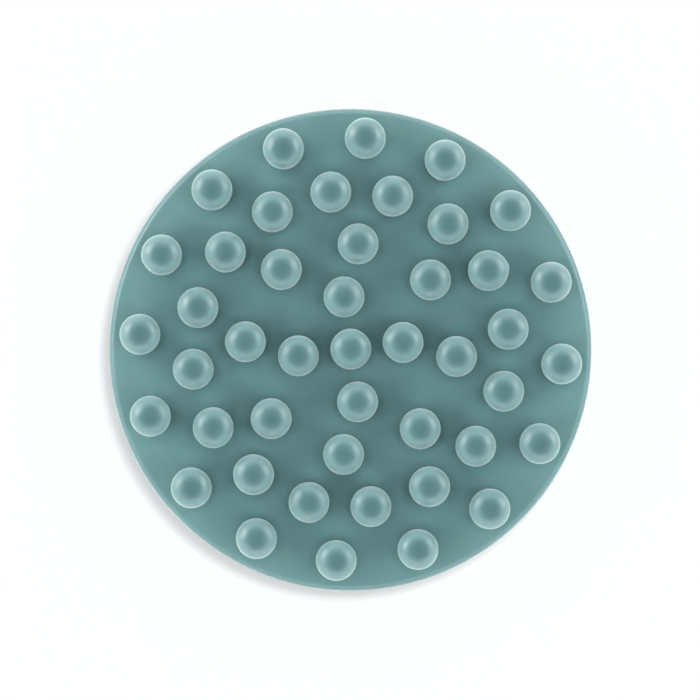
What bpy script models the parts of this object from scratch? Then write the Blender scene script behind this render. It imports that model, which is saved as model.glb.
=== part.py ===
"""Scalp massager brush: a silicone disc with round-tipped nubs, carried by a knob handle.

Lengths are in metres and +Z is up. The brush stands on the flat end of its handle with the nubs
upwards. The origin is the centre of that flat end, and the turned pieces share the Z axis.
"""

import math

import bmesh
import bpy
from mathutils import Matrix, Vector

MM = 0.001
GAP = 0.3 * MM  # between pieces that touch on the real object

# Silicone pad
DISC_RADIUS = 40 * MM
PAD_WEB = 2.4 * MM
PAD_EDGE_ROUND = 1.5 * MM
SKIRT_WALL = 2.5 * MM
SKIRT_DEPTH = 7.8 * MM
SKIRT_LOW_ROUND = 0.8 * MM

# Nubs
NUB_RADIUS = 3.39 * MM
NUB_HEIGHT = 12 * MM
NUB_DOME_HEIGHT = 2.9 * MM
NUB_BASE_RADIUS = 3.2 * MM
RING_PITCH = 8.7 * MM
# Nubs on each ring, and how far the ring is turned clockwise from +Y
RINGS = ((4, 0.0), (8, 11.25), (16, 0.0), (16, 11.25))

# Core plate
PLATE_THICKNESS = 3 * MM
PLATE_CHAMFER = 0.6 * MM
LOCATOR_WALL = 1.6 * MM
LOCATOR_DEPTH = 3.8 * MM
LOCATOR_RECESS = 1 * MM

# Handle, with heights above the flat end
WALL = 2.2 * MM
FOOT_RADIUS = 13 * MM
KNOB_RADIUS = 20.5 * MM
KNOB_MID_Z = 9.3 * MM
NECK_RADIUS = 12.6 * MM
NECK_LOW_Z = 19.4 * MM
NECK_HIGH_Z = 29.4 * MM
NECK_CORE_RADIUS = 10.2 * MM
NECK_BORE = 8 * MM
FLANGE_RADIUS = 36.6 * MM
FLANGE_FLARE_RADIUS = 33 * MM
FLANGE_THICKNESS = 2.6 * MM
FLANGE_CHAMFER = 0.5 * MM
FLANGE_TOP_Z = 38 * MM

# Cap lip, inside the handle body
LIP_WALL = 1.4 * MM
LIP_LOW_Z = 6.5 * MM
LIP_HIGH_Z = 11.7 * MM
LIP_TAPER = 0.7 * MM

# Sleeve
SLEEVE_RIBS = 4
SLEEVE_RIB_HEIGHT = 0.5 * MM

# Seal
SEAL_RING_RADIUS = 31 * MM
SEAL_CORD_RADIUS = 0.6 * MM

# Screws
SCREW_CIRCLE_RADIUS = 13 * MM
SCREW_COUNT = 4
SHANK_RADIUS = 1.3 * MM
HEAD_RADIUS = 2.6 * MM
HEAD_RIM = 0.3 * MM
HEAD_CONE = 1.5 * MM
SCREW_LENGTH = 7.6 * MM
CROSS_WIDTH = 0.6 * MM
CROSS_SPAN = 2.8 * MM
CROSS_DEPTH = 1 * MM

# How finely round shapes are divided
DISC_SEGMENTS = 64
HANDLE_SEGMENTS = 40
SEAL_SEGMENTS = 32
NUB_SEGMENTS = 16
SMALL_SEGMENTS = 12
ARC_STEPS = 5
SHARP_ANGLE = math.radians(35)

# Places worked out from the sizes above
PLATE_LOW_Z = FLANGE_TOP_Z + GAP
PLATE_TOP_Z = PLATE_LOW_Z + PLATE_THICKNESS
FACE_Z = PLATE_TOP_Z + GAP + PAD_WEB
PLATE_RADIUS = DISC_RADIUS - SKIRT_WALL - GAP

TEAL_SILICONE = (0.19, 0.33, 0.34, 1)
TEAL_PLASTIC = (0.14, 0.26, 0.27, 1)
DEEP_TEAL_RUBBER = (0.09, 0.18, 0.19, 1)
PALE_PLASTIC = (0.62, 0.68, 0.68, 1)
BLACK_RUBBER = (0.03, 0.03, 0.03, 1)
STEEL = (0.6, 0.6, 0.58, 1)


def clear_scene():
    for obj in list(bpy.data.objects):
        bpy.data.objects.remove(obj, do_unlink=True)


def make_collection(name):
    collection = bpy.data.collections.new(name)
    bpy.context.scene.collection.children.link(collection)
    return collection


def make_material(name, colour, roughness, metallic=0.0):
    material = bpy.data.materials.new(name)
    material.use_nodes = True
    shader = material.node_tree.nodes["Principled BSDF"]
    shader.inputs["Base Color"].default_value = colour
    shader.inputs["Roughness"].default_value = roughness
    shader.inputs["Metallic"].default_value = metallic
    return material


def make_empty(name, collection, height):
    empty = bpy.data.objects.new(name, None)
    empty.location = (0, 0, height)
    empty.empty_display_size = DISC_RADIUS
    collection.objects.link(empty)
    return empty


def make_object(name, mesh, collection, material=None, location=(0, 0, 0), parent=None):
    """Links a mesh as a named object at a place in world space, and hangs it on its parent."""
    obj = bpy.data.objects.new(name, mesh)
    collection.objects.link(obj)
    if material:
        obj.data.materials.clear()
        obj.data.materials.append(material)
    if parent:
        obj.parent = parent
        obj.location = Vector(location) - parent.location
    else:
        obj.location = location
    return obj


def make_cutter(name, mesh, location=(0, 0, 0)):
    cutter = make_object(name, mesh, CUTTERS, location=location)
    cutter.hide_render = True
    cutter.display_type = "WIRE"
    return cutter


def cut(obj, cutter):
    modifier = obj.modifiers.new(cutter.name, "BOOLEAN")
    modifier.operation = "DIFFERENCE"
    modifier.solver = "EXACT"
    modifier.object = cutter


def arc(centre_r, centre_z, half_width, half_height, start, end, steps=ARC_STEPS):
    """Points along an elliptical arc; angles in degrees, 0 towards +r and 90 towards +z."""
    points = []
    for step in range(steps + 1):
        angle = math.radians(start + (end - start) * step / steps)
        r = centre_r + half_width * math.cos(angle)
        z = centre_z + half_height * math.sin(angle)
        points.append((r, z))
    return points


def turned_mesh(name, profile, segments):
    """A closed solid turned about Z from a profile of (r, z) that runs down its outer side.

    A profile whose ends lie on the axis makes a solid there. Any other profile is closed into a ring.
    """
    mesh = bpy.data.meshes.new(name)
    points = [(r, 0, z) for r, z in profile]
    edges = [(i, i + 1) for i in range(len(points) - 1)]
    on_axis = profile[0][0] == 0 and profile[-1][0] == 0
    if not on_axis:
        edges.append((len(points) - 1, 0))
    mesh.from_pydata(points, edges, [])
    outline = bpy.data.objects.new(name, mesh)
    bpy.context.scene.collection.objects.link(outline)
    screw = outline.modifiers.new("Turn", "SCREW")
    screw.axis = "Z"
    screw.steps = segments
    screw.render_steps = segments
    screw.use_merge_vertices = True
    screw.merge_threshold = 0.00001
    solid = bpy.data.meshes.new_from_object(
        outline.evaluated_get(bpy.context.evaluated_depsgraph_get())
    )
    bpy.data.objects.remove(outline, do_unlink=True)
    solid.name = name
    solid.shade_smooth()
    solid.set_sharp_from_angle(angle=SHARP_ANGLE)
    return solid


def on_circle(radius, degrees, height):
    """A point on a circle about Z, with its angle clockwise from +Y seen from above."""
    angle = math.radians(degrees)
    return (radius * math.sin(angle), radius * math.cos(angle), height)


def screw_places(height):
    """The screws' places, midway between the X and Y axes."""
    for i in range(SCREW_COUNT):
        yield on_circle(SCREW_CIRCLE_RADIUS, 360 * (i + 0.5) / SCREW_COUNT, height)


def build_pad(material, frame):
    """The silicone disc, with a rounded edge and a skirt that wraps the core plate's rim."""
    skirt_low = -SKIRT_DEPTH
    inner_radius = DISC_RADIUS - SKIRT_WALL
    low_round_z = skirt_low + SKIRT_LOW_ROUND
    inner_corner = PLATE_CHAMFER
    profile = [(0, 0)]
    profile += arc(
        DISC_RADIUS - PAD_EDGE_ROUND, -PAD_EDGE_ROUND, PAD_EDGE_ROUND, PAD_EDGE_ROUND, 90, 0, 4
    )
    profile += arc(
        DISC_RADIUS - SKIRT_LOW_ROUND, low_round_z, SKIRT_LOW_ROUND, SKIRT_LOW_ROUND, 0, -90, 2
    )
    profile += [(inner_radius + SKIRT_LOW_ROUND, skirt_low)]
    profile += [(inner_radius, low_round_z)]
    profile += [(inner_radius, -PAD_WEB - inner_corner)]
    profile += [(inner_radius - inner_corner, -PAD_WEB)]
    profile += [(0, -PAD_WEB)]
    mesh = turned_mesh("bristle_pad", profile, DISC_SEGMENTS)
    make_object("bristle_pad", mesh, PARTS, material, (0, 0, FACE_Z), frame)


def nub_mesh():
    """One nub, from its foot just clear of the pad's face to its domed tip."""
    widest_z = NUB_HEIGHT - NUB_DOME_HEIGHT
    profile = arc(0, widest_z, NUB_RADIUS, NUB_DOME_HEIGHT, 90, 0, 4)
    profile[0] = (0, NUB_HEIGHT)
    profile += [(NUB_BASE_RADIUS, GAP), (0, GAP)]
    return turned_mesh("nub", profile, NUB_SEGMENTS)


def build_nubs(material, frame):
    mesh = nub_mesh()
    make_object("nub_centre", mesh, PARTS, material, (0, 0, FACE_Z), frame)
    for ring, (count, turn) in enumerate(RINGS, start=1):
        for i in range(count):
            place = on_circle(RING_PITCH * ring, turn + 360 * i / count, FACE_Z)
            make_object(f"nub_ring{ring}_{i + 1}", mesh, PARTS, material, place, frame)


def build_core_plate(material, frame):
    """The stiff disc under the silicone, with a locating ring that enters the handle's bore."""
    thickness, chamfer = PLATE_THICKNESS, PLATE_CHAMFER
    locator_radius = NECK_BORE - GAP
    profile = [
        (0, thickness),
        (PLATE_RADIUS - chamfer, thickness),
        (PLATE_RADIUS, thickness - chamfer),
        (PLATE_RADIUS, chamfer),
        (PLATE_RADIUS - chamfer, 0),
        (locator_radius, 0),
        (locator_radius, -LOCATOR_DEPTH),
        (locator_radius - LOCATOR_WALL, -LOCATOR_DEPTH),
        (locator_radius - LOCATOR_WALL, LOCATOR_RECESS),
        (0, LOCATOR_RECESS),
    ]
    mesh = turned_mesh("core_plate", profile, DISC_SEGMENTS)
    plate = make_object("core_plate", mesh, PARTS, material, (0, 0, PLATE_LOW_Z), frame)
    top = thickness + MM
    cone_top = thickness - HEAD_RIM
    hole_profile = [
        (0, top),
        (HEAD_RADIUS + GAP, top),
        (HEAD_RADIUS + GAP, cone_top),
        (SHANK_RADIUS + GAP, cone_top - HEAD_CONE),
        (SHANK_RADIUS + GAP, -MM),
        (0, -MM),
    ]
    hole = turned_mesh("plate_hole", hole_profile, SMALL_SEGMENTS)
    for i, place in enumerate(screw_places(PLATE_LOW_Z), start=1):
        cut(plate, make_cutter(f"plate_hole_{i}", hole, place))


def cross_mesh():
    """The driver's cross, as two crossed boxes made one."""
    mesh = bpy.data.meshes.new("cross")
    shape = bmesh.new()
    outline = []
    half, arm = CROSS_WIDTH / 2, CROSS_SPAN / 2
    for quarter in range(4):
        turn = Matrix.Rotation(math.pi / 2 * quarter, 3, "Z")
        for x, y in ((half, half), (half, arm), (-half, arm)):
            outline.append(shape.verts.new(turn @ Vector((x, y, -CROSS_DEPTH))))
    floor = shape.faces.new(outline)
    raised = bmesh.ops.extrude_face_region(shape, geom=[floor])
    tops = [item for item in raised["geom"] if isinstance(item, bmesh.types.BMVert)]
    bmesh.ops.translate(shape, verts=tops, vec=(0, 0, CROSS_DEPTH + MM))
    bmesh.ops.recalc_face_normals(shape, faces=shape.faces)
    shape.to_mesh(mesh)
    shape.free()
    return mesh


def build_screws(material, frame):
    """Countersunk screws, with the top of the head as each one's origin."""
    profile = [
        (0, 0),
        (HEAD_RADIUS, 0),
        (HEAD_RADIUS, -HEAD_RIM),
        (SHANK_RADIUS, -HEAD_RIM - HEAD_CONE),
        (SHANK_RADIUS, -SCREW_LENGTH + SHANK_RADIUS),
        (0, -SCREW_LENGTH),
    ]
    mesh = turned_mesh("plate_screw", profile, SMALL_SEGMENTS)
    cross = cross_mesh()
    for i, place in enumerate(screw_places(PLATE_TOP_Z), start=1):
        screw = make_object(f"plate_screw_{i}", mesh, PARTS, material, place, frame)
        cut(screw, make_cutter(f"cross_{i}", cross, place))


def handle_profile():
    """Flange, neck and upper half of the knob, with the bore and the knob's hollow inside."""
    flange_low_z = FLANGE_TOP_Z - FLANGE_THICKNESS
    groove_half = SEAL_CORD_RADIUS + GAP
    groove_floor = FLANGE_TOP_Z - 2 * SEAL_CORD_RADIUS - GAP
    profile = [
        (NECK_BORE, FLANGE_TOP_Z),
        (SEAL_RING_RADIUS - groove_half, FLANGE_TOP_Z),
        (SEAL_RING_RADIUS - groove_half, groove_floor),
        (SEAL_RING_RADIUS + groove_half, groove_floor),
        (SEAL_RING_RADIUS + groove_half, FLANGE_TOP_Z),
        (FLANGE_RADIUS - FLANGE_CHAMFER, FLANGE_TOP_Z),
        (FLANGE_RADIUS, FLANGE_TOP_Z - FLANGE_CHAMFER),
        (FLANGE_RADIUS, flange_low_z + FLANGE_CHAMFER),
        (FLANGE_RADIUS - FLANGE_CHAMFER, flange_low_z),
    ]
    flare_width = FLANGE_FLARE_RADIUS - NECK_RADIUS
    flare_height = flange_low_z - NECK_HIGH_Z
    profile += arc(FLANGE_FLARE_RADIUS, NECK_HIGH_Z, flare_width, flare_height, 90, 180, 7)
    profile += [(NECK_CORE_RADIUS, NECK_HIGH_Z), (NECK_CORE_RADIUS, NECK_LOW_Z)]
    shoulder_width = KNOB_RADIUS - NECK_RADIUS
    shoulder_height = NECK_LOW_Z - KNOB_MID_Z
    profile += arc(NECK_RADIUS, KNOB_MID_Z, shoulder_width, shoulder_height, 90, 0, 6)
    hollow_width = KNOB_RADIUS - WALL - NECK_BORE
    profile += arc(NECK_BORE, KNOB_MID_Z, hollow_width, shoulder_height - WALL, 0, 90)
    return profile


def build_handle_body(material, frame):
    mesh = turned_mesh("handle_body", handle_profile(), HANDLE_SEGMENTS)
    body = make_object("handle_body", mesh, PARTS, material, (0, 0, 0), frame)
    depth = SCREW_LENGTH - PLATE_THICKNESS + GAP
    pilot = bpy.data.meshes.new("screw_pilot")
    shape = bmesh.new()
    bmesh.ops.create_cone(
        shape,
        cap_ends=True,
        segments=SMALL_SEGMENTS,
        radius1=SHANK_RADIUS + GAP,
        radius2=SHANK_RADIUS + GAP,
        depth=2 * depth,
    )
    shape.to_mesh(pilot)
    shape.free()
    for i, place in enumerate(screw_places(FLANGE_TOP_Z), start=1):
        cut(body, make_cutter(f"screw_pilot_{i}", pilot, place))


def build_seal(material, frame):
    profile = arc(SEAL_RING_RADIUS, 0, SEAL_CORD_RADIUS, SEAL_CORD_RADIUS, 90, -210, 5)
    mesh = turned_mesh("seal_ring", profile, SEAL_SEGMENTS)
    height = FLANGE_TOP_Z - SEAL_CORD_RADIUS
    make_object("seal_ring", mesh, PARTS, material, (0, 0, height), frame)


def build_sleeve(material, frame):
    """A soft sleeve round the neck, with rounded ribs for the fingers."""
    low, high = NECK_LOW_Z + GAP, NECK_HIGH_Z - GAP
    steps = SLEEVE_RIBS * 3
    profile = []
    for step in range(steps + 1):
        share = step / steps
        wave = math.cos(2 * math.pi * SLEEVE_RIBS * share)
        radius = NECK_RADIUS - SLEEVE_RIB_HEIGHT / 2 * (1 - wave)
        profile.append((radius, high + (low - high) * share))
    profile += [(NECK_CORE_RADIUS + GAP, low), (NECK_CORE_RADIUS + GAP, high)]
    mesh = turned_mesh("grip_sleeve", profile, HANDLE_SEGMENTS)
    make_object("grip_sleeve", mesh, PARTS, material, (0, 0, 0), frame)


def build_cap(material, frame):
    """The lower half of the knob: flat foot, round side and a lip that snaps into the body."""
    rim_z = KNOB_MID_Z - GAP
    lip_outer = KNOB_RADIUS - WALL - GAP
    lip_inner = lip_outer - LIP_WALL
    profile = [(0, WALL)]
    profile += [(FOOT_RADIUS - WALL / 2, WALL), (lip_inner, LIP_LOW_Z)]
    profile += [(lip_inner, LIP_HIGH_Z), (lip_outer - LIP_TAPER, LIP_HIGH_Z), (lip_outer, rim_z)]
    profile += [(KNOB_RADIUS, rim_z)]
    profile += arc(FOOT_RADIUS, rim_z, KNOB_RADIUS - FOOT_RADIUS, rim_z, 0, -90, 6)[1:]
    profile += [(0, 0)]
    mesh = turned_mesh("palm_cap", profile, HANDLE_SEGMENTS)
    make_object("palm_cap", mesh, PARTS, material, (0, 0, 0), frame)


clear_scene()
PARTS = make_collection("scalp_massager_brush")
CUTTERS = make_collection("cutters")

silicone = make_material("teal_silicone", TEAL_SILICONE, 0.45)
handle_plastic = make_material("teal_plastic", TEAL_PLASTIC, 0.4)
grip_rubber = make_material("deep_teal_rubber", DEEP_TEAL_RUBBER, 0.7)
plate_plastic = make_material("pale_plastic", PALE_PLASTIC, 0.5)
seal_rubber = make_material("black_rubber", BLACK_RUBBER, 0.6)
screw_steel = make_material("steel", STEEL, 0.3, 1.0)

handle_frame = make_empty("handle_frame", PARTS, 0)
pad_frame = make_empty("pad_frame", PARTS, FACE_Z)

build_pad(silicone, pad_frame)
build_nubs(silicone, pad_frame)
build_core_plate(plate_plastic, handle_frame)
build_screws(screw_steel, handle_frame)
build_seal(seal_rubber, handle_frame)
build_handle_body(handle_plastic, handle_frame)
build_sleeve(grip_rubber, handle_frame)
build_cap(handle_plastic, handle_frame)
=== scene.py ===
"""Scalp massager brush: its finished surfaces, materials, lights and camera.

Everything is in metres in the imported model's frame: +Z runs from the flat end of the handle up to the
nubs' tips, and the brush stands on the floor at z = 0.
"""
import math
import random

import bmesh
import bpy
from mathutils import Matrix, Vector, noise
from mathutils.geometry import delaunay_2d_cdt


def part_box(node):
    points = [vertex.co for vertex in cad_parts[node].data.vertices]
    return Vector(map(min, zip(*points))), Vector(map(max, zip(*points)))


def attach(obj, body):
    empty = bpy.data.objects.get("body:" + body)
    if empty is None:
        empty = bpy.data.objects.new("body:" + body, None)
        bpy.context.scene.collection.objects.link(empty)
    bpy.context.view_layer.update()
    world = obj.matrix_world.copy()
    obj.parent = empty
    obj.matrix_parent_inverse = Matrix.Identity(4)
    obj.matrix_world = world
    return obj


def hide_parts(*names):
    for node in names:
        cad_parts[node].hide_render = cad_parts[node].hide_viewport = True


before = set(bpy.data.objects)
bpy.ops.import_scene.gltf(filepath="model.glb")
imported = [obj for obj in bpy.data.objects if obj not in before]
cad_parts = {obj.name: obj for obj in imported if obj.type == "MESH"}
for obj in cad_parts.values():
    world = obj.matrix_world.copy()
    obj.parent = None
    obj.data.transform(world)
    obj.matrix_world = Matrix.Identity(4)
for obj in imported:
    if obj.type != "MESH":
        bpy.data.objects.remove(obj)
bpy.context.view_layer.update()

MM = 0.001
RANDOM = random.Random(41)

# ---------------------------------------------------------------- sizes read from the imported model


def half_width(node):
    low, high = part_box(node)
    return (high[0] - low[0]) / 2


PAD_LOW, PAD_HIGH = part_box("bristle_pad")
HANDLE_LOW, HANDLE_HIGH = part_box("handle_body")
SLEEVE_LOW, SLEEVE_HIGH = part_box("grip_sleeve")
CAP_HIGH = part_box("palm_cap")[1]
PLATE_LOW, PLATE_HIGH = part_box("core_plate")
SEAL_LOW, SEAL_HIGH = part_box("seal_ring")

NUBS = sorted(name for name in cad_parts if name.startswith("nub_"))
SCREWS = sorted(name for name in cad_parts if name.startswith("plate_screw"))

GAP = 0.3 * MM
DISC_RADIUS = half_width("bristle_pad")
FACE_Z = PAD_HIGH[2]
SKIRT_LOW_Z = PAD_LOW[2]
KNOB_RADIUS = half_width("palm_cap")
KNOB_MID_Z = HANDLE_LOW[2]
FLANGE_RADIUS = half_width("handle_body")
FLANGE_TOP_Z = HANDLE_HIGH[2]
NECK_RADIUS = half_width("grip_sleeve")
NECK_LOW_Z = SLEEVE_LOW[2] - GAP
NECK_HIGH_Z = SLEEVE_HIGH[2] + GAP
PLATE_RADIUS = half_width("core_plate")
PLATE_TOP_Z = PLATE_HIGH[2]
PLATE_UNDER_Z = FLANGE_TOP_Z + GAP

# ---------------------------------------------------------------- sizes of the finer shapes

EDGE_ROUND = 1.5 * MM  # height of the disc's rounded edge, and its width below
EDGE_WIDTH = 1 * MM
SKIRT_WALL = 2.5 * MM
SKIRT_LOW_ROUND = 0.8 * MM
UNDER_ROUND = 0.6 * MM
PARTING_DEPTH = 0.02 * MM
PARTING_HALF = 0.1 * MM
FACE_WAVE = 0.02 * MM
FACE_WAVE_SCALE = 90
FACE_WAVE_MIDDLE = 0.4
FACE_GRID = 1.5 * MM
GRID_ROW = 0.866  # between the grid's rows, over its step
GRID_CLEAR = 0.6  # between the grid and an outline, over its step
DISC_SEGMENTS = 224

NUB_INSET = 0.045 * MM
NUB_FOOT_ROUND = 0.45 * MM
NUB_BASE_RADIUS = 3.1 * MM
NUB_DOME_HEIGHT = 2.9 * MM
NUB_DOME_STEPS = 16
NUB_FLANK_SHARES = (0.2, 0.4, 0.6, 0.75, 0.86, 0.94, 1)
NUB_LEAN = 0.003
NUB_SEGMENTS = 48

FLASH_HEIGHT = 0.004 * MM
FLASH_HALF = 0.08 * MM
FLASH_RIPPLE = 0.8
FLASH_RIPPLE_SCALE = 1.7
# Nubs whose mould line carries a nick or a bump: degrees clockwise from +Y, and depth
FLASH_MARKS = {
    "nub_ring4_14": (232, -0.22 * MM),
    "nub_ring3_15": (228, -0.16 * MM),
    "nub_ring3_4": (85, 0.14 * MM),
    "nub_ring4_16": (235, -0.14 * MM),
    "nub_ring4_5": (226, -0.18 * MM),
}
FLASH_MARK_WIDTH = math.radians(13)
FLASH_MARK_HEIGHT = 0.8 * MM

# Rings moulded on the plate's top, and under the pad over them
RING_RADII = (8.5 * MM, 18.5 * MM, 22.5 * MM, 26.5 * MM, 30.5 * MM, 34 * MM)
RING_WIDTH = 1 * MM
RING_SLOPE = 0.2 * MM
RING_DEPTH = 0.35 * MM

TURN_SEGMENTS = 160
NECK_CORE_RADIUS = 10.2 * MM
NECK_BORE = 8 * MM
WALL = 2.2 * MM
FLARE_RADIUS = 33 * MM
FLANGE_THICKNESS = 2.6 * MM
FLANGE_ROUND = 0.5 * MM
SEAM_ROUND = 0.25 * MM
SEAL_CORD = (SEAL_HIGH[2] - SEAL_LOW[2]) / 2
SEAL_RING = half_width("seal_ring") - SEAL_CORD

FOOT_RADIUS = 13 * MM
FOOT_GROOVE_RADIUS = 10.5 * MM
FOOT_GROOVE_DEPTH = 0.3 * MM
FOOT_GROOVE_HALVES = (0.5 * MM, 0.3 * MM)  # half widths at its mouth and its floor
BOWL_RISE = 6.5 * MM
LIP_WALL = 1.4 * MM
LIP_LEAD = (0.9 * MM, 0.6 * MM)  # how far the lip's top and its lead-in stand in from its side

SLEEVE_RIBS = 4
SLEEVE_RIB_HEIGHT = 0.5 * MM
SLEEVE_ROUND = 0.35 * MM
SLEEVE_STEPS = 72

PLATE_ROUND = 0.6 * MM
GATE_RADII = (1.1 * MM, 1.3 * MM)
GATE_DEPTH = 0.25 * MM
LOCATOR_WALL = 1.6 * MM
LOCATOR_BEVEL = 0.3 * MM
HOLE_RADIUS = 1.6 * MM
HOLE_SEGMENTS = 48

HEAD_RIM = 0.3 * MM
HEAD_BEVEL = (0.15 * MM, 0.12 * MM)
HEAD_DEPTH = 1.8 * MM
SHANK_RADIUS = 1.3 * MM
SHANK_PLAIN = 0.4 * MM
THREAD_START = 2.6 * MM
THREAD_PITCH = 0.9 * MM
THREAD_DEPTH = 0.3 * MM
THREAD_CREST = 0.1 * MM
POINT_LENGTH = 1.2 * MM
CROSS_SIZE = (2.8 * MM, 0.6 * MM, 2 * MM)
CROSS_TAPER = 0.55
SCREW_SEGMENTS = 40

TINY = 1e-7
SHARP_DEGREES = 50
SHARP_DEGREES_PAD = 60
SHARP_DEGREES_CUT = 35

# ---------------------------------------------------------------- mesh helpers


def arc(centre_r, centre_z, half_r, half_z, start, end, steps):
    """Points along an elliptical arc in (r, z); angles in degrees, 0 towards +r and 90 towards +z."""
    points = []
    for step in range(steps + 1):
        angle = math.radians(start + (end - start) * step / steps)
        points.append((centre_r + half_r * math.cos(angle), centre_z + half_z * math.sin(angle)))
    return points


def round_arc(centre_r, centre_z, radius, start, end, steps):
    return arc(centre_r, centre_z, radius, radius, start, end, steps)


def circle_points(centre, radius, count):
    points = []
    for i in range(count):
        angle = 2 * math.pi * i / count
        points.append((centre[0] + radius * math.cos(angle), centre[1] + radius * math.sin(angle)))
    return points


def bridge(bm, lower, upper):
    count = len(lower)
    for i in range(count):
        j = (i + 1) % count
        bm.faces.new((lower[i], lower[j], upper[j], upper[i]))


def fan(bm, ring, tip):
    count = len(ring)
    for i in range(count):
        bm.faces.new((ring[i], ring[(i + 1) % count], tip))


def finish_mesh(name, bm, sharp_degrees=SHARP_DEGREES):
    bmesh.ops.recalc_face_normals(bm, faces=bm.faces)
    mesh = bpy.data.meshes.new(name)
    bm.to_mesh(mesh)
    bm.free()
    mesh.shade_smooth()
    mesh.set_sharp_from_angle(angle=math.radians(sharp_degrees))
    obj = bpy.data.objects.new(name, mesh)
    bpy.context.scene.collection.objects.link(obj)
    return obj


def turned(name, profile, segments=TURN_SEGMENTS, centre=(0, 0)):
    """A solid turned about a vertical axis. Profile points with r = 0 become single points."""
    bm = bmesh.new()
    rings = []
    for r, z in profile:
        if r < TINY:
            rings.append([bm.verts.new((centre[0], centre[1], z))])
        else:
            rings.append([bm.verts.new((x, y, z)) for x, y in circle_points(centre, r, segments)])
    pairs = list(zip(rings, rings[1:]))
    if len(rings[0]) > 1:
        pairs.append((rings[-1], rings[0]))
    for first, second in pairs:
        if len(first) == 1 and len(second) > 1:
            fan(bm, second, first[0])
        elif len(second) == 1 and len(first) > 1:
            fan(bm, first, second[0])
        elif len(first) > 1:
            bridge(bm, first, second)
    return finish_mesh(name, bm)


def cut(obj, cutters):
    """Cuts each of the cutters out of obj and removes them."""
    for cutter in cutters:
        modifier = obj.modifiers.new("Cut", "BOOLEAN")
        modifier.operation = "DIFFERENCE"
        modifier.solver = "EXACT"
        modifier.object = cutter
        solid = bpy.data.meshes.new_from_object(
            obj.evaluated_get(bpy.context.evaluated_depsgraph_get())
        )
        obj.modifiers.clear()
        obj.data = solid
        bpy.data.objects.remove(cutter, do_unlink=True)
    obj.data.shade_smooth()
    obj.data.set_sharp_from_angle(angle=math.radians(SHARP_DEGREES_CUT))


def box_centre(node):
    low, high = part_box(node)
    return ((low[0] + high[0]) / 2, (low[1] + high[1]) / 2)


# ---------------------------------------------------------------- silicone pad with its nubs


def face_height(x, y):
    """The pad's face, very slightly uneven as moulded silicone is."""
    wave = noise.noise(Vector((x, y, 0)) * FACE_WAVE_SCALE) - FACE_WAVE_MIDDLE
    return FACE_Z + FACE_WAVE * wave


def grid_points(centres, hole_radius, outer_radius):
    """Points of a triangular grid over the face that are clear of the nubs' feet and the edge."""
    points = []
    clear = GRID_CLEAR * FACE_GRID
    rows = int(outer_radius / (FACE_GRID * GRID_ROW)) + 1
    for row in range(-rows, rows + 1):
        y = row * FACE_GRID * GRID_ROW
        for column in range(-rows, rows + 1):
            x = (column + (row % 2) / 2) * FACE_GRID
            if math.hypot(x, y) > outer_radius - clear:
                continue
            nearest = min(math.hypot(x - cx, y - cy) for cx, cy in centres)
            if nearest > hole_radius + clear:
                points.append((x, y))
    return points


def flash_height(phase, angle):
    """How far the mould line stands out round a nub, in one direction."""
    ripple = noise.noise(Vector((math.cos(angle), math.sin(angle), phase)) * FLASH_RIPPLE_SCALE)
    return FLASH_HEIGHT * (1 + FLASH_RIPPLE * ripple)


def mark_depth(name, angle):
    """How far a trimming nick or bump moves a nub's widest part, in one direction."""
    if name not in FLASH_MARKS:
        return 0
    degrees, depth = FLASH_MARKS[name]
    apart = (angle - math.pi / 2 + math.radians(degrees) + math.pi) % (2 * math.pi) - math.pi
    return depth * math.exp(-((apart / FLASH_MARK_WIDTH) ** 2))


def nub_rings(radius, widest):
    """(r, z above the face, share of the mould line) up one nub, from above its foot to near its tip."""
    foot_radius = NUB_BASE_RADIUS + NUB_FOOT_ROUND
    foot = round_arc(foot_radius, NUB_FOOT_ROUND, NUB_FOOT_ROUND, -90, -180, 5)
    rings = [(r, z, 0) for r, z in foot[1:]]
    flank = widest - FLASH_HALF - NUB_FOOT_ROUND
    for share in NUB_FLANK_SHARES:
        r = NUB_BASE_RADIUS + (radius - NUB_BASE_RADIUS) * share ** 2
        rings.append((r, NUB_FOOT_ROUND + flank * share, 0))
    rings += [(radius, widest, 1), (radius, widest + FLASH_HALF, 0)]
    for step in range(1, NUB_DOME_STEPS):
        angle = math.radians(90 * step / NUB_DOME_STEPS)
        rings.append((radius * math.cos(angle), widest + NUB_DOME_HEIGHT * math.sin(angle), 0))
    return rings


def raise_nub(bm, name, foot):
    """Builds one nub on its foot's ring of vertices."""
    cx, cy = box_centre(name)
    radius = half_width(name) - NUB_INSET
    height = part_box(name)[1][2] - FACE_Z
    widest = height - NUB_DOME_HEIGHT
    phase = RANDOM.uniform(0, 50)
    lean = Vector((RANDOM.gauss(0, NUB_LEAN), RANDOM.gauss(0, NUB_LEAN)))
    lower = foot
    for r, z, share in nub_rings(radius, widest):
        upper = []
        marked = math.exp(-(((z - widest) / FLASH_MARK_HEIGHT) ** 2))
        for i in range(NUB_SEGMENTS):
            angle = 2 * math.pi * i / NUB_SEGMENTS
            reach = r + share * flash_height(phase, angle) + marked * mark_depth(name, angle)
            x = cx + reach * math.cos(angle) + lean.x * z
            y = cy + reach * math.sin(angle) + lean.y * z
            upper.append(bm.verts.new((x, y, FACE_Z + z)))
        bridge(bm, lower, upper)
        lower = upper
    tip = bm.verts.new((cx + lean.x * height, cy + lean.y * height, FACE_Z + height))
    fan(bm, lower, tip)


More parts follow.
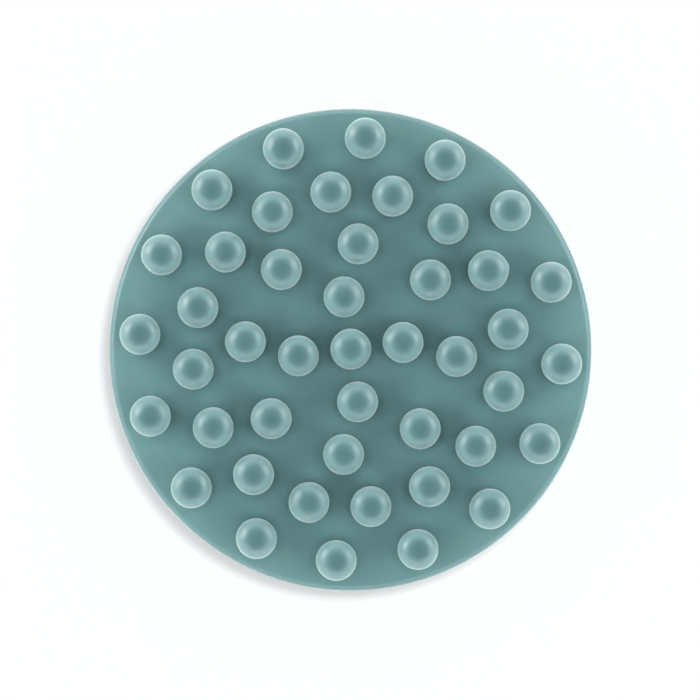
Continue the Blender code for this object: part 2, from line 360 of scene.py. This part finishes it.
def skirt_profile():
    """From the edge of the flat face, round the rim, down the skirt and back in under the web."""
    low_round_z = SKIRT_LOW_Z + SKIRT_LOW_ROUND
    inner = DISC_RADIUS - SKIRT_WALL
    under_z = PLATE_TOP_Z + GAP
    line_z = (FACE_Z - EDGE_ROUND + low_round_z) / 2
    profile = arc(DISC_RADIUS - EDGE_WIDTH, FACE_Z - EDGE_ROUND, EDGE_WIDTH, EDGE_ROUND, 90, 0, 10)[1:]
    profile += [(DISC_RADIUS - PARTING_DEPTH, line_z + PARTING_HALF), (DISC_RADIUS, line_z)]
    profile += [(DISC_RADIUS - PARTING_DEPTH, line_z - PARTING_HALF)]
    profile += round_arc(DISC_RADIUS - SKIRT_LOW_ROUND, low_round_z, SKIRT_LOW_ROUND, 0, -90, 6)
    profile += round_arc(inner + SKIRT_LOW_ROUND, low_round_z, SKIRT_LOW_ROUND, -90, -180, 5)
    profile += round_arc(inner - UNDER_ROUND, under_z - UNDER_ROUND, UNDER_ROUND, 0, 90, 4)
    for r in reversed(RING_RADII):
        profile += [(r + RING_WIDTH, under_z), (r + RING_WIDTH - RING_SLOPE, under_z + RING_DEPTH)]
        profile += [(r + RING_SLOPE, under_z + RING_DEPTH), (r, under_z)]
    return profile


def build_pad():
    """One continuous skin: the face, its nubs, the rounded rim, the skirt and the hollow under it."""
    centres = [box_centre(name) for name in NUBS]
    foot_radius = NUB_BASE_RADIUS + NUB_FOOT_ROUND
    flat_radius = DISC_RADIUS - EDGE_WIDTH
    hole_radius = foot_radius * 0.995  # a face whose middle is nearer a nub's axis fills its hole
    points = circle_points((0, 0), flat_radius, DISC_SEGMENTS)
    edges = [(i, (i + 1) % DISC_SEGMENTS) for i in range(DISC_SEGMENTS)]
    for centre in centres:
        first = len(points)
        points += circle_points(centre, foot_radius, NUB_SEGMENTS)
        edges += [(first + i, first + (i + 1) % NUB_SEGMENTS) for i in range(NUB_SEGMENTS)]
    points += grid_points(centres, foot_radius, flat_radius)
    flat = [Vector(point) for point in points]
    placed, _, faces, sources, _, _ = delaunay_2d_cdt(flat, edges, [], 0, TINY)

    bm = bmesh.new()
    vertex_of = {}
    for place, source in zip(placed, sources):
        vertex = bm.verts.new((place.x, place.y, face_height(place.x, place.y)))
        for index in source:
            vertex_of[index] = vertex
    bm.verts.ensure_lookup_table()
    for face in faces:
        middle = sum((placed[i] for i in face), Vector((0, 0))) / len(face)
        if min((middle - Vector(centre)).length for centre in centres) > hole_radius:
            bm.faces.new([bm.verts[i] for i in face])

    for number, name in enumerate(NUBS):
        first = DISC_SEGMENTS + number * NUB_SEGMENTS
        raise_nub(bm, name, [vertex_of[first + i] for i in range(NUB_SEGMENTS)])

    upper = [vertex_of[i] for i in range(DISC_SEGMENTS)]
    for r, z in skirt_profile():
        lower = [bm.verts.new((x, y, z)) for x, y in circle_points((0, 0), r, DISC_SEGMENTS)]
        bridge(bm, lower, upper)
        upper = lower
    fan(bm, upper, bm.verts.new((0, 0, PLATE_TOP_Z + GAP)))
    return finish_mesh("silicone_pad", bm, SHARP_DEGREES_PAD)


# ---------------------------------------------------------------- handle and what it holds


def build_handle():
    """Flange with the seal's groove, flared neck and the knob's upper half, in one hollow shell."""
    groove = SEAL_CORD + GAP
    groove_floor = SEAL_LOW[2] - GAP
    flange_low = FLANGE_TOP_Z - FLANGE_THICKNESS
    round_r = FLANGE_RADIUS - FLANGE_ROUND
    flare = (FLARE_RADIUS - NECK_RADIUS, flange_low - NECK_HIGH_Z)
    shoulder = (KNOB_RADIUS - NECK_RADIUS, NECK_LOW_Z - KNOB_MID_Z)
    hollow = (KNOB_RADIUS - WALL - NECK_BORE, shoulder[1] - WALL)
    profile = [(NECK_BORE, FLANGE_TOP_Z), (SEAL_RING - groove, FLANGE_TOP_Z)]
    profile += [(SEAL_RING - groove, groove_floor), (SEAL_RING + groove, groove_floor)]
    profile += [(SEAL_RING + groove, FLANGE_TOP_Z)]
    profile += round_arc(round_r, FLANGE_TOP_Z - FLANGE_ROUND, FLANGE_ROUND, 90, 0, 5)
    profile += round_arc(round_r, flange_low + FLANGE_ROUND, FLANGE_ROUND, 0, -90, 5)
    profile += arc(FLARE_RADIUS, NECK_HIGH_Z, *flare, 90, 178, 36)
    profile += [(NECK_RADIUS - SEAM_ROUND, NECK_HIGH_Z), (NECK_CORE_RADIUS, NECK_HIGH_Z)]
    profile += [(NECK_CORE_RADIUS, NECK_LOW_Z)]
    profile += arc(NECK_RADIUS, KNOB_MID_Z, *shoulder, 90, 3, 32)
    profile += [(KNOB_RADIUS - SEAM_ROUND, KNOB_MID_Z)]
    profile += arc(NECK_BORE, KNOB_MID_Z, *hollow, 0, 90, 16)
    return turned("handle_shell", profile)


def build_cap():
    """The knob's palm end: a bowl with a snap lip, and a shallow groove round its flat foot."""
    rim_z = KNOB_MID_Z - GAP
    lip_outer = KNOB_RADIUS - WALL - GAP
    lip_inner = lip_outer - LIP_WALL
    lip_top = CAP_HIGH[2]
    mouth, floor_half = FOOT_GROOVE_HALVES
    profile = [(0, WALL), (FOOT_RADIUS - WALL / 2, WALL), (lip_inner, BOWL_RISE)]
    profile += [(lip_inner, lip_top - SEAM_ROUND), (lip_inner + SEAM_ROUND, lip_top)]
    profile += [(lip_outer - LIP_LEAD[0], lip_top), (lip_outer - LIP_LEAD[1], lip_top - SEAM_ROUND)]
    profile += [(lip_outer, rim_z), (KNOB_RADIUS - SEAM_ROUND, rim_z)]
    profile += arc(FOOT_RADIUS, rim_z, KNOB_RADIUS - FOOT_RADIUS, rim_z, -3, -90, 30)
    profile += [(FOOT_GROOVE_RADIUS + mouth, 0), (FOOT_GROOVE_RADIUS + floor_half, FOOT_GROOVE_DEPTH)]
    profile += [(FOOT_GROOVE_RADIUS - floor_half, FOOT_GROOVE_DEPTH), (FOOT_GROOVE_RADIUS - mouth, 0)]
    profile += [(0, 0)]
    return turned("palm_cap_shell", profile)


def build_sleeve():
    """Soft sleeve with smooth ribs and rounded ends."""
    low, high = SLEEVE_LOW[2], SLEEVE_HIGH[2]
    profile = []
    for step in range(SLEEVE_STEPS + 1):
        share = step / SLEEVE_STEPS
        z = high + (low - high) * share
        wave = math.cos(2 * math.pi * SLEEVE_RIBS * share)
        r = NECK_RADIUS - SLEEVE_RIB_HEIGHT / 2 * (1 - wave)
        from_end = min(z - low, high - z)
        if from_end < SLEEVE_ROUND:
            inset = SLEEVE_ROUND - from_end
            r -= SLEEVE_ROUND - math.sqrt(max(SLEEVE_ROUND ** 2 - inset ** 2, 0))
        profile.append((r, z))
    inner = NECK_CORE_RADIUS + GAP
    profile += [(inner, low), (inner, high)]
    return turned("finger_sleeve", profile)


def screw_hole(name):
    """A cutter for one screw's countersunk hole through the plate."""
    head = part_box(name)[1][2]
    sink_r = half_width(name) + GAP
    sink_z, clear_low = head - HEAD_DEPTH, PLATE_UNDER_Z - MM
    profile = [(0, head + MM), (sink_r, head + MM), (sink_r, head - HEAD_RIM)]
    profile += [(HOLE_RADIUS, sink_z), (HOLE_RADIUS, clear_low), (0, clear_low)]
    return turned("hole", profile, HOLE_SEGMENTS, box_centre(name))


def build_plate():
    """Stiff carrier with shallow rings and a gate mark on its top, and countersunk screw holes."""
    round_r = PLATE_RADIUS - PLATE_ROUND
    ring_floor = PLATE_TOP_Z - RING_DEPTH
    locator_r, locator_low = NECK_BORE - GAP, PLATE_LOW[2]
    recess_z = PLATE_UNDER_Z + MM
    profile = [(0, PLATE_TOP_Z - GATE_DEPTH), (GATE_RADII[0], PLATE_TOP_Z - GATE_DEPTH)]
    profile += [(GATE_RADII[1], PLATE_TOP_Z)]
    for r in RING_RADII:
        profile += [(r, PLATE_TOP_Z), (r + RING_SLOPE, ring_floor)]
        profile += [(r + RING_WIDTH - RING_SLOPE, ring_floor), (r + RING_WIDTH, PLATE_TOP_Z)]
    profile += round_arc(round_r, PLATE_TOP_Z - PLATE_ROUND, PLATE_ROUND, 90, 0, 5)
    profile += round_arc(round_r, PLATE_UNDER_Z + PLATE_ROUND, PLATE_ROUND, 0, -90, 5)
    profile += [(locator_r, PLATE_UNDER_Z), (locator_r, locator_low + LOCATOR_BEVEL)]
    profile += [(locator_r - LOCATOR_BEVEL, locator_low), (locator_r - LOCATOR_WALL, locator_low)]
    profile += [(locator_r - LOCATOR_WALL, recess_z), (0, recess_z)]
    plate = turned("core_plate_moulding", profile)
    cut(plate, [screw_hole(name) for name in SCREWS])
    return plate


def cross_slot(place, turn):
    """A cutter for one arm of a screw's cross recess, narrower at its floor."""
    bm = bmesh.new()
    bmesh.ops.create_cube(bm, size=1)
    bmesh.ops.scale(bm, verts=bm.verts, vec=CROSS_SIZE)
    for vertex in bm.verts:
        if vertex.co.z < 0:
            vertex.co.x *= CROSS_TAPER
    slot = finish_mesh("slot", bm)
    slot.location = place
    slot.rotation_euler.z = turn
    return slot


def build_screw(name):
    """Countersunk screw with a ridged shank, a point and a cross recess."""
    low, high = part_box(name)
    centre = box_centre(name)
    head_r = half_width(name)
    root_r = SHANK_RADIUS - THREAD_DEPTH
    top, tip = high[2], low[2]
    sink_z = top - HEAD_DEPTH
    profile = [(0, top), (head_r - HEAD_BEVEL[0], top), (head_r, top - HEAD_BEVEL[1])]
    profile += [(head_r, top - HEAD_RIM), (SHANK_RADIUS, sink_z), (SHANK_RADIUS, sink_z - SHANK_PLAIN)]
    z = top - THREAD_START
    while z - THREAD_PITCH > tip + POINT_LENGTH:
        crest_z = z - THREAD_DEPTH
        profile += [(root_r, z), (SHANK_RADIUS, crest_z), (SHANK_RADIUS, crest_z - THREAD_CREST)]
        z -= THREAD_PITCH
    profile += [(root_r, z), (0, tip)]
    screw = turned(f"{name}_steel", profile, SCREW_SEGMENTS, centre)
    turn = math.radians(RANDOM.uniform(0, 90))
    slots = [cross_slot((*centre, top), turn + quarter) for quarter in (0, math.pi / 2)]
    bpy.context.view_layer.update()
    cut(screw, slots)
    return screw


def build_seal():
    """A round cord, closed into a ring."""
    profile = round_arc(SEAL_RING, SEAL_LOW[2] + SEAL_CORD, SEAL_CORD, 90, -255, 23)
    return turned("seal_cord", profile)


# ---------------------------------------------------------------- materials


class Nodes:
    """A material's node tree, with short calls for the nodes that these materials share."""

    def __init__(self, name):
        self.material = bpy.data.materials.new(name)
        self.material.use_nodes = True
        self.tree = self.material.node_tree
        self.shader = self.tree.nodes["Principled BSDF"]
        self.place = self.new("ShaderNodeTexCoord").outputs["Object"]

    def new(self, kind, **settings):
        node = self.tree.nodes.new(kind)
        for key, value in settings.items():
            setattr(node, key, value)
        return node

    def link(self, source, target):
        self.tree.links.new(source, target)

    def noise(self, size, detail=4, roughness=0.55, stretch=None):
        """Noise whose blotches are about size metres across."""
        node = self.new("ShaderNodeTexNoise")
        node.inputs["Scale"].default_value = 1 / size
        node.inputs["Detail"].default_value = detail
        node.inputs["Roughness"].default_value = roughness
        if stretch:
            mapping = self.new("ShaderNodeMapping")
            mapping.inputs["Scale"].default_value = stretch
            self.link(self.place, mapping.inputs["Vector"])
            self.link(mapping.outputs["Vector"], node.inputs["Vector"])
        else:
            self.link(self.place, node.inputs["Vector"])
        return node.outputs["Fac"]

    def remap(self, value, low, high, to_low, to_high, kind="LINEAR"):
        """Takes low to to_low and high to to_high, and stays within them."""
        node = self.new("ShaderNodeMapRange", interpolation_type=kind)
        self.link(value, node.inputs["Value"])
        limits = {"From Min": low, "From Max": high, "To Min": to_low, "To Max": to_high}
        for key, number in limits.items():
            node.inputs[key].default_value = number
        return node.outputs["Result"]

    def mix(self, share, first, second):
        """first where share is 0, second where it is 1. Each is a colour or a socket."""
        node = self.new("ShaderNodeMix", data_type="RGBA")
        self.link(share, node.inputs[0])
        for socket, colour in ((node.inputs[6], first), (node.inputs[7], second)):
            if isinstance(colour, tuple):
                socket.default_value = (*colour, 1)
            else:
                self.link(colour, socket)
        return node.outputs[2]

    def math(self, operation, first, second):
        node = self.new("ShaderNodeMath", operation=operation)
        for socket, value in ((node.inputs[0], first), (node.inputs[1], second)):
            if isinstance(value, (int, float)):
                socket.default_value = value
            else:
                self.link(value, socket)
        return node.outputs[0]

    def from_axis(self):
        """Distance from the brush's own axis."""
        split = self.new("ShaderNodeSeparateXYZ")
        self.link(self.place, split.inputs[0])
        squares = [self.math("MULTIPLY", split.outputs[i], split.outputs[i]) for i in (0, 1)]
        return self.math("SQRT", self.math("ADD", squares[0], squares[1]), 0.0)

    def height(self):
        split = self.new("ShaderNodeSeparateXYZ")
        self.link(self.place, split.inputs[0])
        return split.outputs["Z"]

    def blotches(self, size, detail, low, high, span=(0.3, 0.7), **settings):
        """A number that varies from low to high in blotches about size metres across."""
        return self.remap(self.noise(size, detail, **settings), *span, low, high)

    def cells(self, size):
        """Distance from the nearest of points about size metres apart, over that size."""
        node = self.new("ShaderNodeTexVoronoi")
        node.inputs["Scale"].default_value = 1 / size
        self.link(self.place, node.inputs["Vector"])
        return node.outputs["Distance"]

    def bump(self, height, distance, strength=1.0, before=None):
        node = self.new("ShaderNodeBump")
        node.inputs["Strength"].default_value = strength
        node.inputs["Distance"].default_value = distance
        self.link(height, node.inputs["Height"])
        if before:
            self.link(before, node.inputs["Normal"])
        return node.outputs["Normal"]

    def smooth(self, value, low, high, to_low, to_high):
        """As remap, with soft ends."""
        return self.remap(value, low, high, to_low, to_high, "SMOOTHSTEP")

    def set(self, socket, value):
        self.shader.inputs[socket].default_value = value

    def finish(self, colour, roughness, normal):
        self.link(colour, self.shader.inputs["Base Color"])
        self.link(roughness, self.shader.inputs["Roughness"])
        self.link(normal, self.shader.inputs["Normal"])
        return self.material


def silicone_material():
    """Satin teal silicone with pale dust specks. Its colour also holds painted light and shade: paler on
    the face between the nubs, darker at the nubs' tips and on the rounded edge.
    """
    n = Nodes("teal_silicone")
    from_axis, height = n.from_axis(), n.height()
    # A deeper teal, used for painted shade at the nubs' tips and on the rounded edge
    deep = (0.030, 0.085, 0.092)

    tone = n.blotches(14 * MM, 3, 0, 1, span=(0.35, 0.65))
    colour = n.mix(tone, (0.064, 0.149, 0.157), (0.074, 0.163, 0.172))
    colour = n.mix(n.blotches(0.9 * MM, 5, 0, 0.3), colour, (0.088, 0.190, 0.198))

    # Painted light on the face between the nubs, where they shade it: a paler colour that fades up the
    # nubs' flanks, shifts its tint a little towards the rim, and stops at the disc's edge
    inside = n.smooth(from_axis, DISC_RADIUS - 0.8 * MM, DISC_RADIUS - 0.1 * MM, 1, 0)
    low = n.smooth(height, FACE_Z + 0.3 * MM, FACE_Z + 5 * MM, 0.86, 0)
    outer = n.smooth(from_axis, DISC_RADIUS - 7 * MM, DISC_RADIUS - 3 * MM, 0, 1)
    # The paler teal of the painted light on the face
    painted_face_light = n.mix(outer, (0.103, 0.209, 0.220), (0.108, 0.214, 0.216))
    colour = n.mix(n.math("MULTIPLY", low, inside), colour, painted_face_light)

    # Painted shade: the nubs' tips and the disc's rounded edge are darkened towards the deeper teal
    tip = n.smooth(height, FACE_Z + 11.2 * MM, FACE_Z + 12 * MM, 0, 0.62)
    colour = n.mix(tip, colour, deep)
    # The rounded edge's painted shade, which tones down its bright rim; the same band is also made
    # rougher
    shoulder = n.smooth(height, FACE_Z - 1.7 * MM, FACE_Z - 1.1 * MM, 0, 1)
    round_off = n.smooth(from_axis, DISC_RADIUS - 0.8 * MM, DISC_RADIUS - 0.25 * MM, 0, 1)
    edge = n.math("MULTIPLY", round_off, shoulder)
    colour = n.mix(n.math("MULTIPLY", edge, 0.7), colour, deep)

    dust = n.remap(n.cells(2.2 * MM), 0.03, 0.055, 0.5, 0)
    colour = n.mix(dust, colour, (0.30, 0.40, 0.40))
    roughness = n.blotches(2.5 * MM, 4, 0.38, 0.46)
    roughness = n.math("MAXIMUM", roughness, n.math("MULTIPLY", edge, 0.85))
    grain = n.bump(n.noise(0.22 * MM, 3), 0.006 * MM)
    uneven = n.bump(n.noise(3 * MM, 2), 0.02 * MM, before=grain)
    n.set("IOR", 1.5)
    n.set("Specular IOR Level", 0.6)
    n.set("Subsurface Weight", 0.7)
    n.set("Subsurface Radius", (0.5, 0.9, 0.95))
    n.set("Subsurface Scale", 0.8 * MM)
    n.set("Sheen Weight", 0.52)
    n.set("Sheen Roughness", 0.54)
    n.set("Sheen Tint", (0.82, 1.0, 1.0, 1))
    return n.finish(colour, roughness, uneven)


def handle_material():
    """Teal moulded plastic with a fine spark-eroded texture and faint rubbed patches."""
    n = Nodes("teal_plastic")
    tone = n.blotches(11 * MM, 3, 0, 1, span=(0.35, 0.65))
    colour = n.mix(tone, (0.115, 0.250, 0.265), (0.135, 0.280, 0.295))
    rub = n.blotches(5 * MM, 6, 0, 0.25, span=(0.56, 0.72), roughness=0.7)
    colour = n.mix(rub, colour, (0.20, 0.35, 0.36))
    roughness = n.blotches(6 * MM, 5, 0.48, 0.62)
    texture = n.bump(n.noise(0.16 * MM, 2), 0.012 * MM)
    return n.finish(colour, roughness, texture)


def sleeve_material():
    """Deeper teal soft rubber, matte, with a fine pebble."""
    n = Nodes("deep_teal_rubber")
    tone = n.blotches(6 * MM, 4, 0, 1)
    colour = n.mix(tone, (0.062, 0.150, 0.162), (0.085, 0.185, 0.198))
    roughness = n.blotches(1.5 * MM, 4, 0.62, 0.8)
    texture = n.bump(n.cells(0.35 * MM), 0.03 * MM, 0.8)
    return n.finish(colour, roughness, texture)


def plate_material():
    """Pale plastic with faint flow streaks."""
    n = Nodes("pale_plastic")
    flow = n.blotches(9 * MM, 5, 0, 1, roughness=0.6, stretch=(1, 0.35, 1))
    colour = n.mix(flow, (0.28, 0.34, 0.34), (0.35, 0.40, 0.40))
    roughness = n.blotches(3 * MM, 4, 0.36, 0.52)
    texture = n.bump(n.noise(0.3 * MM, 3), 0.01 * MM)
    return n.finish(colour, roughness, texture)


def steel_material():
    """Zinc-bright screw steel with turned marks."""
    n = Nodes("screw_steel")
    n.set("Metallic", 1.0)
    tone = n.blotches(0.8 * MM, 4, 0, 1)
    colour = n.mix(tone, (0.50, 0.50, 0.48), (0.68, 0.68, 0.65))
    roughness = n.blotches(0.4 * MM, 5, 0.24, 0.42)
    marks = n.bump(n.noise(0.12 * MM, 2, stretch=(1, 1, 4)), 0.006 * MM)
    return n.finish(colour, roughness, marks)


def seal_material():
    """Black rubber with a faint grey film in blotches."""
    n = Nodes("black_rubber")
    tone = n.blotches(2 * MM, 4, 0, 1)
    colour = n.mix(tone, (0.018, 0.018, 0.018), (0.04, 0.04, 0.04))
    roughness = n.blotches(1 * MM, 4, 0.5, 0.7)
    texture = n.bump(n.noise(0.2 * MM, 3), 0.008 * MM)
    return n.finish(colour, roughness, texture)


def floor_material():
    """Matte pale floor, slightly self-lit so that it reads as white."""
    n = Nodes("pale_floor")
    tone = n.blotches(0.4, 2, 0, 1)
    colour = n.mix(tone, (0.86, 0.86, 0.86), (0.87, 0.87, 0.87))
    roughness = n.blotches(0.2, 2, 0.85, 0.95)
    texture = n.bump(n.noise(0.05, 2), 0.01 * MM)
    n.set("Specular IOR Level", 0.0)
    n.set("Emission Color", (1, 1, 1, 1))
    n.set("Emission Strength", 0.24)
    return n.finish(colour, roughness, texture)


def dress(piece, material, body, slot_name, *nodes):
    """Gives a finished piece its material and its body, and hides the imported nodes that it stands for.
    Its slot_name is not used.
    """
    piece.data.materials.clear()
    piece.data.materials.append(material)
    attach(piece, body)
    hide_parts(*nodes)


# ---------------------------------------------------------------- floor, light and camera

OBJECT_TURN = math.radians(7.25)  # anticlockwise, as the camera sees the brush
DISC_EDGE_Z = FACE_Z - EDGE_ROUND
CAMERA_ABOVE_FACE = 1.3
CAMERA_HEIGHT = CAMERA_ABOVE_FACE + FACE_Z - DISC_EDGE_Z  # above the disc's widest edge
CAMERA_LEAN = (-0.006, -0.009)  # to the right and up in the picture, over the camera's height
FRAME_WIDTH = 116.1 * MM  # across the view, at the height of the disc's widest edge
FRAME_SHIFT = (-0.0006, -0.0004)
SENSOR_WIDTH = 36.0
FLOOR_HALF = 4.0
FLOOR_SEGMENTS = 8

# Each light: name, degrees clockwise from the top of the picture, elevation, distance from the
# face's middle, (width, height) and power. The high ones light the face evenly, and the silicone
# doesn't mirror them. The low ones draw the crescents on the nubs.
HIGH_LIGHTS = (
    ("overhead", 0, 89.9, 1.3, (0.5, 0.5), 12.3),
    ("high_right", 115, 62, 0.9, (0.3, 0.3), 2.6),
    ("high_left", 250, 62, 0.9, (0.3, 0.3), 2.6),
)
LOW_LIGHTS = (
    ("left_light", 294, 13, 0.9, (0.55, 0.35), 6.5),
    ("right_light", 66, 13, 0.9, (0.55, 0.35), 4.5),
    ("front_light", 180, 10, 0.9, (0.8, 0.2), 1.5),
)
FLOOR_LIGHT = ("floor_light", 50, 88.25, 1.4, (0.06, 0.06), 8)  # draws the shadow on the floor
# The sky's brightness by the sine of the elevation
SKY_STOPS = ((0.0, 1.7), (0.1, 2.4), (0.22, 3.4), (0.38, 1.5), (0.5, 0.1))


def picture_direction(degrees, elevation):
    """A direction by its angle clockwise from the top of the picture, and its elevation."""
    angle = math.radians(degrees) + OBJECT_TURN
    rise = math.radians(elevation)
    level = math.cos(rise)
    return Vector((level * math.sin(angle), level * math.cos(angle), math.sin(rise)))


def build_floor():
    bm = bmesh.new()
    bmesh.ops.create_grid(bm, x_segments=FLOOR_SEGMENTS, y_segments=FLOOR_SEGMENTS, size=FLOOR_HALF)
    floor = finish_mesh("floor", bm)
    floor.data.materials.append(floor_material())
    return floor


def soft_light(name, degrees, elevation, distance, size, power):
    """A large rectangular light that faces the brush and isn't seen itself."""
    data = bpy.data.lights.new(name, "AREA")
    data.shape = "RECTANGLE"
    data.size, data.size_y = size
    data.energy = power
    light = bpy.data.objects.new(name, data)
    bpy.context.scene.collection.objects.link(light)
    direction = picture_direction(degrees, elevation)
    light.location = direction * distance + Vector((0, 0, FACE_Z))
    light.rotation_euler = direction.to_track_quat("Z", "Y").to_euler()
    light.visible_camera = False
    return light


def link_light(light, floor, state):
    """Lets a light reach everything but the floor, or nothing but the floor."""
    receivers = bpy.data.collections.new(f"{light.name}_receivers")
    receivers.objects.link(floor)
    receivers.collection_objects[0].light_linking.link_state = state
    light.light_linking.receiver_collection = receivers


def build_world():
    """A bright horizon all round under a dim zenith, as between low soft boxes."""
    world = bpy.data.worlds.new("studio")
    world.use_nodes = True
    bpy.context.scene.world = world
    tree = world.node_tree
    background = tree.nodes["Background"]
    place = tree.nodes.new("ShaderNodeTexCoord")
    split = tree.nodes.new("ShaderNodeSeparateXYZ")
    ramp = tree.nodes.new("ShaderNodeValToRGB")
    tree.links.new(place.outputs["Generated"], split.inputs[0])
    tree.links.new(split.outputs["Z"], ramp.inputs["Fac"])
    tree.links.new(ramp.outputs["Color"], background.inputs["Color"])
    elements = ramp.color_ramp.elements
    while len(elements) < len(SKY_STOPS):
        elements.new(0.5)
    for element, (position, value) in zip(elements, SKY_STOPS):
        element.position = position
        element.color = (value, value, value, 1)
    background.inputs["Strength"].default_value = 1.0


def build_camera():
    """Almost straight above, leaning a little towards the lower left of the picture."""
    data = bpy.data.cameras.new("camera")
    data.sensor_width = SENSOR_WIDTH
    data.lens = SENSOR_WIDTH * CAMERA_HEIGHT / FRAME_WIDTH
    data.shift_x, data.shift_y = FRAME_SHIFT
    camera = bpy.data.objects.new("camera", data)
    bpy.context.scene.collection.objects.link(camera)
    target = Vector((0, 0, DISC_EDGE_Z))
    lean_x, lean_y = CAMERA_LEAN
    turn = Matrix.Rotation(-OBJECT_TURN, 4, "Z")
    camera.location = target + turn @ (Vector((lean_x, lean_y, 1)) * CAMERA_HEIGHT)
    tilt = Matrix.Rotation(math.atan(lean_x), 4, "Y") @ Matrix.Rotation(-math.atan(lean_y), 4, "X")
    camera.rotation_euler = (turn @ tilt).to_euler()
    bpy.context.scene.camera = camera


# ---------------------------------------------------------------- the scene

dress(build_pad(), silicone_material(), "pad", "pad_silicone", "bristle_pad", *NUBS)
handle_plastic = handle_material()
dress(build_handle(), handle_plastic, "handle", "handle_plastic", "handle_body")
dress(build_cap(), handle_plastic, "handle", "handle_plastic", "palm_cap")
dress(build_sleeve(), sleeve_material(), "handle", "grip_rubber", "grip_sleeve")
dress(build_plate(), plate_material(), "handle", "plate_plastic", "core_plate")
dress(build_seal(), seal_material(), "handle", "seal_rubber", "seal_ring")
steel = steel_material()
for screw_name in SCREWS:
    dress(build_screw(screw_name), steel, "handle", "screw_steel", screw_name)

floor = build_floor()
build_world()
for settings in HIGH_LIGHTS + LOW_LIGHTS:
    lamp = soft_light(*settings)
    lamp.visible_glossy = settings in LOW_LIGHTS
    link_light(lamp, floor, "EXCLUDE")
link_light(soft_light(*FLOOR_LIGHT), floor, "INCLUDE")
build_camera()
bpy.context.scene.view_settings.view_transform = "Standard"
